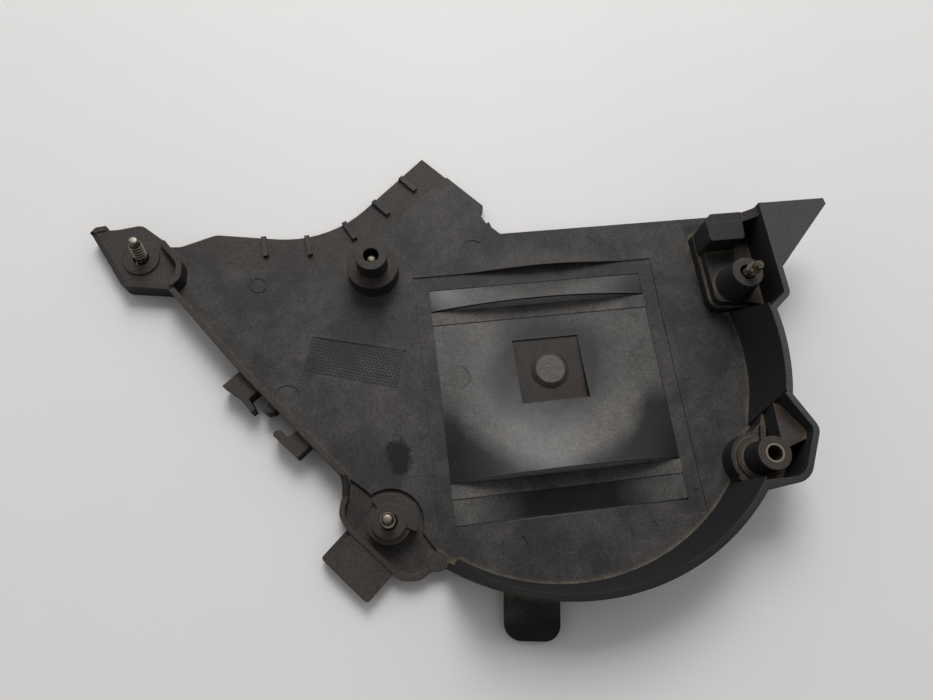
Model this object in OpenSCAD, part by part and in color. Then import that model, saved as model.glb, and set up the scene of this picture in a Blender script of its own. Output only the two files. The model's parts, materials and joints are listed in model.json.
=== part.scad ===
// Moulded timing cover, seen from its engine side, lying on its outer face.
// Origin: the centre of the pulley arc on the outer face. X runs along the louvred
// square, Z points from the outer face towards the engine. Sizes in millimetres.

/* [Plate and walls] */
// Thickness of the floor plate
plate_t = 3; // [2.4:0.1:4]
// Thickness of every standing wall
wall_t = 2.7; // [2:0.1:3.4]
// Height of the tall wall round the pulley, above the outer face
tall_h = 31.5; // [28:0.5:36]
// Height of the low wall on the left side, above the outer face
low_h = 13; // [10.5:0.5:16]
// Height of the rim round the lower left bolt, above the outer face
lobe_h = 6.5; // [5:0.5:9]
// Outer radius of the tall wall round the pulley
pulley_r = 104; // [102:0.5:106]
// How far the foot of the tall wall stands in from its rim
wall_draft = 3.2; // [1:0.1:4]
// Height of the walls round the upper left ear, above the outer face
ear_h = 9.5; // [8.5:0.25:12]

/* [Louvred square] */
// Width of the square frame
frame_w = 122.6; // [118:0.2:126]
// Length of the square frame
frame_l = 128.9; // [127:0.1:131]
// Distance from the pulley centre down to the middle of the square
frame_drop = 10.6; // [9.6:0.1:11.6]
// Depth of the step round the square
frame_step = 0.5; // [0.3:0.1:0.8]
// Width of the louvres
louvre_w = 107.8; // [100:0.2:112]
// Wall thickness of the louvres
louvre_t = 1.6; // [1.2:0.1:1.8]
// Rise of the floor lip above the square
lip_rise = 4; // [2:0.5:6]
// Rise of the upper louvre
upper_rise = 7.5; // [4:0.5:10]
// Length of the upper louvre
upper_l = 11.1; // [9:0.1:13]
// Rise of the middle louvre
middle_rise = 12; // [6:0.5:15]
// Length of the middle louvre
middle_l = 76.4; // [72:0.1:78]
// Drop of the lower louvre
lower_drop = 1.3; // [0.6:0.1:1.4]
// Length of the lower louvre
lower_l = 11.4; // [9:0.1:13]
// Slit in front of each louvre
slit = 0.8; // [0.4:0.1:1.5]
// Side of the sunken pad in the middle louvre
pad_w = 32.5; // [26:0.5:36]
// Diameter of the round button at its foot
button_d = 19; // [14:0.5:24]
// Height of the button
button_h = 2; // [1:0.25:3]

/* [Bosses and bolts] */
// Diameter of the boss feet
foot_d = 25; // [22:0.5:27]
// Diameter of the posts
post_d = 15; // [13:0.25:17]
// Bolt thread diameter
bolt_d = 6; // [5:0.25:6.5]
// Diameter of the thinner shank that keeps a bolt captive
waist_d = 5.2; // [4.4:0.1:5.4]
// Clearance hole for a bolt
bolt_hole_d = 7.4; // [6.9:0.1:8]
// Length of the three long bolts under the head
bolt_l = 20; // [16:1:25]
// Length of the short bolt in the centre boss under the head
short_bolt_l = 12; // [10:1:14]
// Diameter of the bolt flange
flange_d = 12.5; // [11:0.25:13]
// Diameter of the well that takes a bolt head
well_d = 14.6; // [13.8:0.1:15]
// Width across the flats of the bolt head
head_af = 10; // [8:0.5:10.5]
// Height of the bolt head with its flange
head_h = 5; // [4:0.25:5.25]
// Lean of the loose upper left bolt, in degrees
upper_left_lean = 8.5; // [0:0.5:9]
// Lean of the loose upper right bolt, in degrees
upper_right_lean = 5.5; // [0:0.5:6]
// Outer diameter of the steel bush
bush_d = 8.6; // [8:0.1:10]
// Bore of the steel bush
bush_bore = 6.8; // [6.2:0.1:7.4]

/* [Clips and tabs] */
// Height of the cable clips
clip_h = 8; // [5:0.5:9]
// Thickness of the fin at the upper right
fin_t = 2.8; // [2:0.1:3.6]
// Depth of the ledge along the upper left edge
ledge_d = 1.5; // [0.8:0.1:1.8]
// Width of the ribs on the ledge
rib_w = 2.5; // [1.5:0.1:3.5]
// Length of the ribs on the ledge
rib_l = 11; // [8:0.5:13]

/* [Hidden] */
$fn = 64;
eps = 0.01;
arc_step = 6;
pulley_step = 3;
plastic = [0.2, 0.2, 0.21];
steel = [0.72, 0.7, 0.66];

// Axes of the bosses
upper_left = [-189.5, 73];
upper_right = [96.7, 31];
lower_left = [-82.5, -63];
lower_right = [86, -54.8];
centre_boss = [-80.3, 58];

// Levels of the bosses: the web under a bolt head, the feet and the tips of the posts
seat_web = 3;
ear_floor = 7;
ear_pad = 10;
ear_pad_d = 17;
upper_left_seat = ear_pad - seat_web;
platform_h = 13;
platform_ledge = 8.7;
ledge_w = 1.6;
upper_right_tip = 28;
upper_right_seat = platform_h + 5.5;
lower_left_tip = 12;
lower_left_foot = 10;
lower_left_seat = lower_left_foot - seat_web;
lower_right_tip = 28;
lower_right_foot = 13;
lower_right_seat = lower_right_foot - seat_web;
centre_tip = 23.5;
centre_foot = 13;
centre_seat = 8;
sleeve_d = well_d + 4.6;
moat_r = foot_d / 2 + 2.5;
lobe_floor = plate_t - 1.4;

// Angles at which the pulley arc starts, meets the lower right ear and ends
arc_start = 234.6;
ear_start = 318.7;
ear_end = 343.1;
arc_end = 365.5;

// Places of the louvres, measured from the pulley centre
frame_top = frame_l / 2 - frame_drop;
bar_w = (frame_l - upper_l - middle_l - lower_l) / 4;
upper_y = frame_top - bar_w;
middle_y = upper_y - upper_l - bar_w;
lower_y = middle_y - middle_l - bar_w;
frame_floor = plate_t - frame_step;
louvre_edge = frame_floor - 0.3;
louvre_lap = 1;
lip_w = 92;
lip_l = 15;
lip_x = 5;
lower_t = louvre_edge - lower_drop - 0.2;
pad_floor = plate_t - 1.2;
button_top_d = button_d - 5;

function unit(v) = v / norm(v);
function turn(a, b, c) = cross(b - a, c - b);
function flat(p) = [p[0], p[1]];
function tail(list) = [for (i = [1:len(list) - 1]) list[i]];
function between(a, b, share) = a + (b - a) * share;
function reversed(list) = [for (i = [len(list) - 1:-1:0]) list[i]];
function on_arc(r, a) = [r * cos(a), r * sin(a), 0];
function arc(r, from, to) = let (n = ceil((to - from) / pulley_step))
    [for (i = [0:n]) on_arc(r, from + (to - from) * i / n)];

// Points of one corner b between a and c, rounded with radius r
function corner(a, b, c, r) = r <= 0 ? [b] :
    let (u = unit(a - b),
        v = unit(c - b),
        half = acos(u * v) / 2,
        centre = b + unit(u + v) * r / sin(half),
        side = turn(a, b, c) > 0 ? 1 : -1,
        first = b + u * r / tan(half) - centre,
        start = atan2(first[1], first[0]),
        sweep = side * (180 - 2 * half),
        n = max(2, ceil(abs(sweep) / arc_step)))
    [for (i = [0:n]) centre + r * [cos(start + sweep * i / n), sin(start + sweep * i / n)]];

// A closed path of [x, y, radius] as an outline
function outline(path) = let (n = len(path))
    [for (i = [0:n - 1]) each corner(flat(path[(i + n - 1) % n]), flat(path[i]),
        flat(path[(i + 1) % n]), path[i][2])];

// An open path of [x, y, radius] as a line with rounded corners
function line(path) = let (n = len(path))
    [for (i = [0:n - 1]) each (i == 0 || i == n - 1) ? [flat(path[i])] :
        corner(flat(path[i - 1]), flat(path[i]), flat(path[i + 1]), path[i][2])];

// One corner of a path moved to the left of the path by d
function left_of(a, b) = let (e = unit(b - a)) [-e[1], e[0]];
function moved(a, b, c, r, d) =
    let (n0 = left_of(a, b),
        n1 = left_of(b, c),
        p = b + d * (n0 + n1) / (1 + n0 * n1))
    [p[0], p[1], r == 0 ? 0 : (turn(a, b, c) > 0 ? max(r - d, 0.3) : r + d)];

// An open path, and a closed one, moved to the left by d
function beside(path, d) = let (n = len(path))
    [for (i = [0:n - 1])
        let (b = flat(path[i]),
            a = i > 0 ? flat(path[i - 1]) : 2 * b - flat(path[1]),
            c = i < n - 1 ? flat(path[i + 1]) : 2 * b - flat(path[n - 2]))
        moved(a, b, c, path[i][2], d)];
function inset(path, d) = let (n = len(path))
    [for (i = [0:n - 1])
        moved(flat(path[(i + n - 1) % n]), flat(path[i]), flat(path[(i + 1) % n]),
            path[i][2], d)];

// The upper edge, from the upper right corner to the upper left ear
corner_back = 65.5;
edge_top = [[95, corner_back, 0], [95, 74.8, 1.5], [-14.1, 74.8, 0], [-18, 79, 0],
    [-19, 82.3, 0], [-20.4, 81.4, 0], [-23.1, 86.6, 0], [-21.2, 89.6, 0], [-20.9, 91.9, 0],
    [-49.7, 123.5, 0.6], [-102, 78.1, 55], [-157, 87.2, 8], [-174, 82, 8], [-181, 82.5, 4],
    [-190.3, 92, 5], [-201, 90.4, 5], [-205.3, 90.3, 0.5], [-206.8, 92.3, 1], [-211.6, 91.8, 2.5]];

// The low wall, from the ear down the left side to the lower left lobe
edge_low = [[-214, 89, 1], [-198.2, 59.2, 5], [-177, 55.8, 3], [-172, 49, 3],
    [-147.6, 15.3, 0], [-102, -41, 2], [-101.4, -44.5, 0]];

// The lobe round the lower left bolt, up to the pulley arc
edge_lobe = [[-101.4, -44.5, 0], [-102.2, -49.8, 1], [-103.2, -52.5, 0], [-104.6, -57.2, 8],
    [-101, -64.2, 6], [-80, -87.8, 8], [-71.5, -88.3, 5], [-67, -85.6, 3],
    on_arc(pulley_r, arc_start)];

// The ear round the lower right post and the corner at the upper right
edge_ear = [[78.4, -68.6, 0], [96.4, -68.8, 10], [107.4, -46.8, 6], [99.3, -30.5, 0]];
edge_corner = [on_arc(pulley_r, arc_end), [112.2, 16.6, 5], [112.4, corner_back, 0]];
edge_tall = concat(arc(pulley_r, arc_start, ear_start), edge_ear,
    arc(pulley_r, ear_end, arc_end - pulley_step), edge_corner);
whole_edge = concat(edge_top, edge_low, tail(edge_lobe), tail(edge_tall));

// The low wall starts at the tip of the ear and runs on along the lobe
low_wall = concat([[-206.8, 92.3, 0.8], [-211.6, 91.8, 2.5]], edge_low,
    [edge_lobe[1], edge_lobe[2]]);

// Slopes where a wall changes its height: their lengths along the wall
ear_slope = 5;
lobe_slope = 9;
start_slope = 14;
slope_back = 60;
slope_reach = 20;

// The tall wall is thicker at its foot, up to just under its rim
wall_in = pulley_r - wall_t;
crease_r = 0.8;
draft_top = tall_h - 1.5;
draft_lip = 0.3;

// The lobe's wall is a little thinner, so that it runs on inside the low wall and the pulley wall
wall_skin = 0.15;
lobe_end = [-63.6, -81.5];
lobe_end_d = 8.4;
lobe_wall = concat([between(edge_low[5], edge_low[6], 0.4)], edge_lobe,
    [on_arc(pulley_r, arc_start + 1.5)]);

// The crease of the ledge, from the cut tip to the ear
ledge_crease = [[-37.8, 110.5, 0], [-102.1, 58.9, 65], [-166, 70.8, 6], [-178, 79, 0]];
ledge_far = [[-190, 86], [-190, 130], [-37.8, 130]];

// Ribs on the ledge: place of the outer end and direction inwards
ledge_ribs = [[-133.5, 83.6, 275], [-112.2, 82.3, 277], [-93.2, 88.4, 297], [-77.4, 99.6, 311],
    [-62.3, 112.6, 311]];

// The raised corner at the upper right and the block on it
platform_back = corner_back - 0.3;
platform = [[84, 20.7, 6], [98, 20.7, 0], [110.6, 17.4, 0], [111.8, 19.6, 0],
    [111.8, platform_back, 0], [87.4, platform_back, 1], [84, 62, 1]];
platform_under = [[88.4, 25, 3], [107.2, 25, 1], [107.2, 60.5, 1], [88.4, 60.5, 1]];
block_h = 25;
block_step = 0.5;
block_front = 60;
block = [[84.3, 50.2, 1.5], [102, 50.2, 2], [103.5, platform_back - 0.2, 0],
    [87.6, platform_back - 0.2, 1], [84.3, 62, 1]];
corner_ramp = [[100, platform_h - 1], [100, block_h - 1], [104, block_h - 0.8], [108, block_h + 2.2],
    [111.3, tall_h - 0.1], [111.3, platform_h - 1]];
ramp_t = 5;
fin = [[110.5, corner_back - 0.1], [143.3, corner_back - 0.1], [143.8, 62.2], [112, 30.4], [110.5, 30.4]];

// The tray of the upper left ear
ear_tray = [[-174.6, 56.6, 0], [-170.6, 60.5, 3], [-170, 69, 8], [-178, 80.6, 3],
    [-190, 91.3, 5], [-201, 89.8, 5], [-205.6, 89.8, 1], [-211.2, 90.6, 1], [-212.8, 88.2, 1],
    [-197.6, 59.8, 5]];
ear_ridge = [[-174.6, 56.6, 0], [-170.6, 60.5, 3], [-170, 69, 8], [-178.4, 81, 0]];
ear_under = [[-177, 60, 2], [-174, 68, 4], [-180, 77.5, 2], [-191, 87.5, 3], [-206.5, 86.3, 2],
    [-195.5, 63.5, 3]];
ridge_h = 11.5;
bank_w = 4.9;

// Round marks of the ejector pins
ejector_d = 12;
ejector_marks = [[-124.9, -1.4], [-29.6, 66.3], [29, 63.3], [30.4, -78.6], [-29, -79.9]];
louvre_marks = [[-44.8, 0.3], [45.2, 0.3]];
mark_depth = 0.25;

// Cable clips on the left wall: along the wall, then outwards
clip_foot = [-147.6, 15.3];
clip_turn = atan2(-56.3, 45.6);
hook_upper = [[5, 1], [18, 1], [17.8, -5.2], [23.5, -6.5], [23.3, -8.8], [15, -7.8], [5, -9.8]];
clip_nub = [[25.7, 1], [30.3, 1], [30.3, -1.7], [28.5, -4.2], [26.5, -4.6], [25.7, -2.7]];
hook_lower = [[43.8, 1], [53.3, 1], [53.3, -8], [38.2, -8.7], [37.1, -7.2], [38.4, -4.6],
    [42.6, -4.7], [43.8, -3]];
clip_z = 2;

// Tabs at the lower left and at the bottom
tab_foot = [-101, -64.2];
tab_turn = atan2(-23.6, 21);
side_tab = [[-0.5, 1, 0], [-0.5, -15.5, 1.5], [27, -15.5, 1.5], [27, 1, 0]];
side_tab_z = 2.5;
side_tab_t = 3.4;
bottom_tab = [[-36, 9 - pulley_r, 0], [-38.8, -12.4 - pulley_r, 7],
    [-15.2, -16.1 - pulley_r, 7], [-11.5, 8 - pulley_r, 0]];

// Pockets in the floor beside the lower left boss
lobe_pocket = [[-63.5, -76.8], [-68.5, -68.5], lower_left, [-91, -48.4], [-98.3, -42]];
lobe_from = -25;
lobe_to = 125;

// The raised floor of the lower right ear, the sloping web on it and the rib beside the post
ear_base = [[74.4, -63.2, 1], [88, -64.9, 0], [88.5, -67.3, 0], [96.3, -67.4, 8], [106, -46.8, 5],
    [100, -30.5, 0], [95.2, -29.5, 0], [91, -39, 0], [86, -42.5, 0]];
ear_web = [[94.8, -31.5], [99.6, -31.6], [106.2, -46], [105, -49.5], [93.5, -53], [88, -54],
    [91.5, -48.9]];
web_slope = [[-60, 1], [-60, 27.5], [-50, 26.5], [-30, 21.5], [-30, 1]];
base_hollow = [[96.4, -62.2, 2], [104, -47, 2], [98.5, -36.5, 1.5], [94.8, -42.5, 1.5]];
web_hollow = [[97, -46, 1], [103, -46, 1], [99.4, -37.5, 1], [97.2, -38.5, 1]];
web_hollow_h = 18;
post_step_d = 20.6;
post_step_h = lower_right_foot + 1.2;
ear_rib = [[0, plate_t], [15.5, plate_t], [15.5, 15], [6, 17], [0, 17]];
ear_rib_turn = 70;

// Small things: the panel of fine texture, the ring mark and the ends of the bolts
rough_panel = [[-111.6, 27.5], [-116.6, 10.4], [-74.5, -2.3], [-68.1, 16]];
ring_place = [-136.5, 57.2];
ring_d = 8.6;
rib_rise = 0.2;
side_tab_step = 2.3;
flange_t = 1.6;
tip_l = 0.9;
loose_gap = 0.02;
free_gap = 1.2;
bush_proud = 0.2;

module standing_wall(path, h, skin = 0) {
    linear_extrude(h)
        polygon(concat(line(beside(path, skin)), reversed(line(beside(path, wall_t - skin)))));
}

module at(place, z = 0) {
    translate([place[0], place[1], z]) children();
}

// The floor plate with its walls
module shell() {
    linear_extrude(plate_t) polygon(outline(whole_edge));
    standing_wall(lobe_wall, lobe_h, wall_skin);
    side_wall();
    tall_wall();
}

// The wall of the ear and of the left side, lower at the ear and at the lobe
module side_wall() {
    along = edge_low[3] - edge_low[2];
    up = edge_low[6] - edge_lobe[1];
    difference() {
        standing_wall(low_wall, low_h);
        wall_slope(edge_low[2], atan2(along[1], along[0]), ear_h, low_h, ear_slope);
        wall_slope(edge_lobe[1], atan2(up[1], up[0]), lobe_h - 0.2, low_h, lobe_slope);
    }
}

// The wall round the pulley, which starts with a slope and is thicker at its foot
module tall_wall() {
    difference() {
        union() {
            standing_wall(edge_tall, tall_h);
            wall_foot(arc_start + 1.5, ear_start - 1);
            wall_foot(ear_end + 1, arc_end + 2);
        }
        wall_slope(on_arc(pulley_r, arc_start), arc_start + 90, lobe_h + 0.6, tall_h, start_slope);
    }
}

// What is cut from a wall that rises in direction a, from one height to another
module wall_slope(place, a, low, high, run) {
    at(place)
        rotate([90, 0, a])
            linear_extrude(2 * slope_reach, center = true)
                polygon([[-slope_back, low], [0, low], [run, high], [run, high + 2],
                    [-slope_back, high + 2]]);
}

module wall_foot(from, to) {
    rotate([0, 0, from])
        rotate_extrude(angle = to - from)
            polygon([[wall_in + wall_t / 2, plate_t - 0.5],
                [wall_in - wall_draft - crease_r, plate_t - 0.5],
                [wall_in - wall_draft - crease_r, plate_t],
                [wall_in - wall_draft - crease_r * 0.3, plate_t + crease_r * 0.3],
                [wall_in - wall_draft, plate_t + crease_r],
                [wall_in - draft_lip, draft_top], [wall_in + wall_t / 2, draft_top]]);
}

// Surface of a louvre: it rises from its far edge to its open edge, and to its middle
function rise_at(u, v, rise, power, ends) =
    rise * pow(max(v, 0), power) * pow(1 - min(abs(u), 1) * min(abs(u), 1), ends);

// A louvre of even thickness, its far edge on the X axis and its open edge at -Y
module louvre(w, l, rise, power, t, across, along, ends = 1) {
    us = concat([-1 - 2 * louvre_lap / w], [for (i = [0:across]) 2 * i / across - 1],
        [1 + 2 * louvre_lap / w]);
    vs = concat([-louvre_lap / l], [for (j = [0:along]) j / along]);
    nu = len(us);
    nv = len(vs);
    top = [for (v = vs) for (u = us) [u * w / 2, -v * l, rise_at(u, v, rise, power, ends)]];
    low = [for (p = top) [p[0], p[1], p[2] - t]];
    m = nu * nv;
    rim = concat([for (i = [0:nu - 1]) i], [for (j = [1:nv - 1]) j * nu + nu - 1],
        [for (i = [nu - 2:-1:0]) (nv - 1) * nu + i], [for (j = [nv - 2:-1:1]) j * nu]);
    k = len(rim);
    skin = [for (j = [0:nv - 2]) for (i = [0:nu - 2])
        let (a = j * nu + i, b = a + 1, c = a + nu + 1, d = a + nu)
        each [[a, b, c], [a, c, d]]];
    sides = [for (i = [0:k - 1]) let (a = rim[i], b = rim[(i + 1) % k])
        each [[b, a, a + m], [b, a + m, b + m]]];
    polyhedron(concat(top, low), concat(skin, [for (f = skin) [f[2] + m, f[1] + m, f[0] + m]],
        sides), convexity = 6);
}

// The hole in the plate that a louvre covers, with the slit in front of it
module louvre_hole(w, l) {
    translate([-w / 2, -l - slit, -1]) cube([w, l + slit, plate_t + 2]);
}

module plate_cuts() {
    translate([-frame_w / 2, frame_top - frame_l, frame_floor]) cube([frame_w, frame_l, plate_t]);
    translate([0, upper_y]) louvre_hole(louvre_w, upper_l);
    translate([0, middle_y]) louvre_hole(louvre_w, middle_l);
    translate([0, lower_y]) louvre_hole(louvre_w, lower_l);
}

module louvres() {
    translate([lip_x, frame_top + lip_l, plate_t - 0.1])
        louvre(lip_w, lip_l, lip_rise, 2.5, louvre_t, 24, 6, 2);
    translate([0, upper_y, louvre_edge]) louvre(louvre_w, upper_l, upper_rise, 1, louvre_t, 20, 3);
    middle_louvre();
    translate([0, lower_y, louvre_edge]) louvre(louvre_w, lower_l, -lower_drop, 1, lower_t, 16, 3);
}

// The middle louvre with its sunken square pad and the button on it
module middle_louvre() {
    pad_out = pad_w + 2 * louvre_t;
    difference() {
        union() {
            translate([0, middle_y, louvre_edge])
                louvre(louvre_w, middle_l, middle_rise, 2, louvre_t, 20, 10);
            intersection() {
                translate([0, middle_y, louvre_edge])
                    louvre(louvre_w, middle_l, middle_rise, 2, louvre_edge + middle_rise, 20, 10);
                translate([-pad_out / 2, -pad_out / 2, 0]) cube([pad_out, pad_out, middle_rise]);
            }
        }
        translate([-pad_w / 2, -pad_w / 2, pad_floor]) cube([pad_w, pad_w, middle_rise]);
        for (p = louvre_marks) at(p, louvre_edge + 0.2) cylinder(d = ejector_d, h = 2);
    }
    translate([0, 0, pad_floor - eps])
        cylinder(d1 = button_d, d2 = button_top_d, h = button_h);
}

// The step along the upper left edge, and the round pockets and marks in the floor
module floor_cuts() {
    translate([0, 0, plate_t - ledge_d])
        linear_extrude(plate_t) polygon(concat(line(ledge_crease), ledge_far));
    translate([0, 0, lobe_floor])
        linear_extrude(plate_t) polygon(concat(line(beside(edge_lobe, wall_t)), lobe_pocket));
    at(lower_left, lobe_floor) sector(moat_r, plate_t, lobe_from, lobe_to);
    for (p = ejector_marks) at(p, plate_t - mark_depth) cylinder(d = ejector_d, h = 2);
    translate([0, 0, plate_t - mark_depth]) linear_extrude(2) polygon(rough_panel);
}

module sector(r, h, from, to) {
    rotate([0, 0, from]) rotate_extrude(angle = to - from) square([r, h]);
}

module ledge_rib_set() {
    for (p = ledge_ribs)
        at(p, plate_t - ledge_d - eps)
            rotate([0, 0, p[2]])
                translate([0, -rib_w / 2]) cube([rib_l, rib_w, ledge_d + rib_rise]);
}

// Round ring beside the upper crease
module ring_mark() {
    at(ring_place, plate_t - eps)
        difference() {
            cylinder(d = ring_d, h = mark_depth);
            translate([0, 0, -1]) cylinder(d = ring_d - 2, h = 3);
        }
}

module boss(place, foot, tip) {
    at(place) cylinder(d = foot_d, h = foot);
    at(place) cylinder(d = post_d, h = tip);
}

// The lower left boss: a foot with a wide sector on its inner side
module lower_left_boss() {
    at(lower_left) cylinder(d = sleeve_d, h = lower_left_foot - 0.8);
    at(lower_left) sector(foot_d / 2, lower_left_foot, lobe_from, lobe_to);
    at(lower_left) cylinder(d = post_d, h = lower_left_tip);
}

// The raised floor of the lower right ear with its web, its stepped post and a rib to the wall
module lower_right_ear() {
    linear_extrude(lower_right_foot) polygon(outline(ear_base));
    at(lower_right) cylinder(d = post_step_d, h = post_step_h);
    intersection() {
        linear_extrude(tall_h) polygon(ear_web);
        rotate([90, 0, 90]) linear_extrude(2 * pulley_r) polygon(web_slope);
    }
    at(lower_right)
        rotate([90, 0, ear_rib_turn])
            translate([0, 0, -rib_w / 2]) linear_extrude(rib_w) polygon(ear_rib);
}

module upper_right_corner() {
    linear_extrude(platform_ledge) polygon(outline(platform));
    linear_extrude(platform_h) polygon(outline(inset(platform, ledge_w)));
    corner_block();
    at(upper_right) cylinder(d = sleeve_d, h = platform_h);
    at(upper_right, platform_h - 1)
        cylinder(d1 = sleeve_d, d2 = post_d, h = upper_right_tip - platform_h + 1);
    translate([0, 0, tall_h - fin_t]) linear_extrude(fin_t) polygon(fin);
    translate([0, platform_back - 0.4])
        rotate([90, 0, 0]) linear_extrude(ramp_t) polygon(corner_ramp);
}

// The block at the back of the raised corner, a little lower along its back
module corner_block() {
    difference() {
        linear_extrude(block_h) polygon(outline(block));
        translate([block[0][0] - 1, block_front, block_h - block_step]) cube([30, ramp_t + 2, 2]);
    }
}

module upper_left_ear() {
    linear_extrude(ear_floor) polygon(outline(ear_tray));
    ear_bank();
    standing_wall(ear_ridge, ridge_h);
    at(upper_left) cylinder(d = ear_pad_d, h = ear_pad);
}

// The sloping inner side of the ear's left wall
module ear_bank() {
    along = edge_low[1] - edge_low[0];
    at(edge_low[0])
        rotate([90, 0, atan2(along[1], along[0]) + 90])
            translate([0, 0, 3])
                linear_extrude(27)
                    polygon([[wall_t - 0.8, ear_floor - 1], [wall_t - 0.8, ear_h - 0.6],
                        [wall_t + 0.3, ear_h - 0.6], [bank_w, ear_floor + 0.3],
                        [bank_w, ear_floor - 1]]);
}

module clips() {
    at(clip_foot, clip_z)
        rotate([0, 0, clip_turn])
            linear_extrude(clip_h) {
                polygon(hook_upper);
                polygon(clip_nub);
                polygon(hook_lower);
            }
}

module tabs() {
    at(tab_foot, side_tab_z)
        rotate([0, 0, tab_turn])
            difference() {
                linear_extrude(side_tab_t) polygon(outline(side_tab));
                translate([-2, -20, side_tab_t / 2]) cube([2 + side_tab_step, 21, side_tab_t]);
            }
    linear_extrude(plate_t) polygon(outline(bottom_tab));
}

// Everything cut from the outer face: wells, bolt holes and the hollow corners
module undercuts() {
    bolt_way(upper_left, upper_left_seat);
    bolt_way(upper_right, upper_right_seat);
    bolt_way(lower_left, lower_left_seat);
    bolt_way(centre_boss, centre_seat);
    at(lower_right, -1) cylinder(d = well_d, h = lower_right_seat + 1);
    at(lower_right) cylinder(d = bush_d, h = tall_h + 1);
    platform_hollow();
    translate([0, 0, -1])
        linear_extrude(lower_right_seat + 1) polygon(outline(base_hollow));
    translate([0, 0, -1]) linear_extrude(web_hollow_h + 1) polygon(outline(web_hollow));
    translate([0, 0, -1])
        linear_extrude(ear_floor - plate_t + 1) polygon(outline(ear_under));
    translate([0, 0, -1])
        linear_extrude(block_h - wall_t + 1) polygon(outline(inset(block, wall_t)));
}

module bolt_way(place, seat) {
    at(place, -1) cylinder(d = well_d, h = seat + 1);
    at(place) cylinder(d = bolt_hole_d, h = tall_h + 1);
}

// The hollow under the raised corner, leaving the sleeve of its boss
module platform_hollow() {
    difference() {
        translate([0, 0, -1])
            linear_extrude(platform_h - plate_t + 1) polygon(outline(platform_under));
        at(upper_right, -2) cylinder(d = sleeve_d, h = tall_h);
    }
}

module cover() {
    difference() {
        union() {
            difference() {
                shell();
                plate_cuts();
                floor_cuts();
            }
            louvres();
            ledge_rib_set();
            ring_mark();
            boss(centre_boss, centre_foot, centre_tip);
            boss(lower_right, lower_right_foot, lower_right_tip);
            lower_left_boss();
            at(lobe_end) cylinder(d = lobe_end_d, h = lobe_h + 0.8);
            lower_right_ear();
            upper_right_corner();
            upper_left_ear();
            clips();
            tabs();
        }
        undercuts();
    }
}

// A hexagon bolt with its flange, the underside of the head at the origin
module bolt(length, waist) {
    translate([0, 0, -head_h])
        cylinder(d = head_af / cos(30), h = head_h - flange_t / 2, $fn = 6);
    rotate_extrude()
        polygon([[0, -flange_t], [flange_d / 2, -flange_t], [flange_d / 2, 0], [waist_d / 2, 0],
            [waist_d / 2, waist], [bolt_d / 2, waist], [bolt_d / 2, length - tip_l],
            [bolt_d / 2 - tip_l, length], [0, length]]);
}

// A bolt that hangs loose in its hole, leaning about the middle of the hole
module loose_bolt(place, seat, tip, lean, towards) {
    middle = (seat + tip) / 2;
    sink = flange_d / 2 * sin(lean) + loose_gap;
    at(place, middle)
        rotate([0, lean, towards])
            translate([0, 0, seat - middle - sink]) bolt(bolt_l, tip - seat + sink + free_gap);
}

module bolt_upper_left() {
    loose_bolt(upper_left, upper_left_seat, ear_pad, upper_left_lean, 21);
}

module bolt_upper_right() {
    loose_bolt(upper_right, upper_right_seat, upper_right_tip, upper_right_lean, -40);
}

module bolt_lower_left() {
    at(lower_left, lower_left_seat) bolt(bolt_l, lower_left_tip - lower_left_seat + free_gap);
}

module bolt_centre() {
    at(centre_boss, centre_seat) bolt(short_bolt_l, seat_web);
}

module bush_lower_right() {
    at(lower_right, lower_right_seat)
        difference() {
            cylinder(d = bush_d, h = lower_right_tip - lower_right_seat + bush_proud);
            translate([0, 0, -1]) cylinder(d = bush_bore, h = tall_h);
        }
}

color(plastic) cover();
color(steel) bolt_upper_left();
color(steel) bolt_upper_right();
color(steel) bolt_lower_left();
color(steel) bolt_centre();
color(steel) bush_lower_right();
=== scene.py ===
"""Looks of the moulded timing cover: nylon moulding, threaded steel bolts, bush and a studio stage."""

import json
import math
from types import SimpleNamespace

import bpy
from bpy.props import FloatProperty, FloatVectorProperty, IntProperty, PointerProperty
from mathutils import Matrix, Vector

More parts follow.
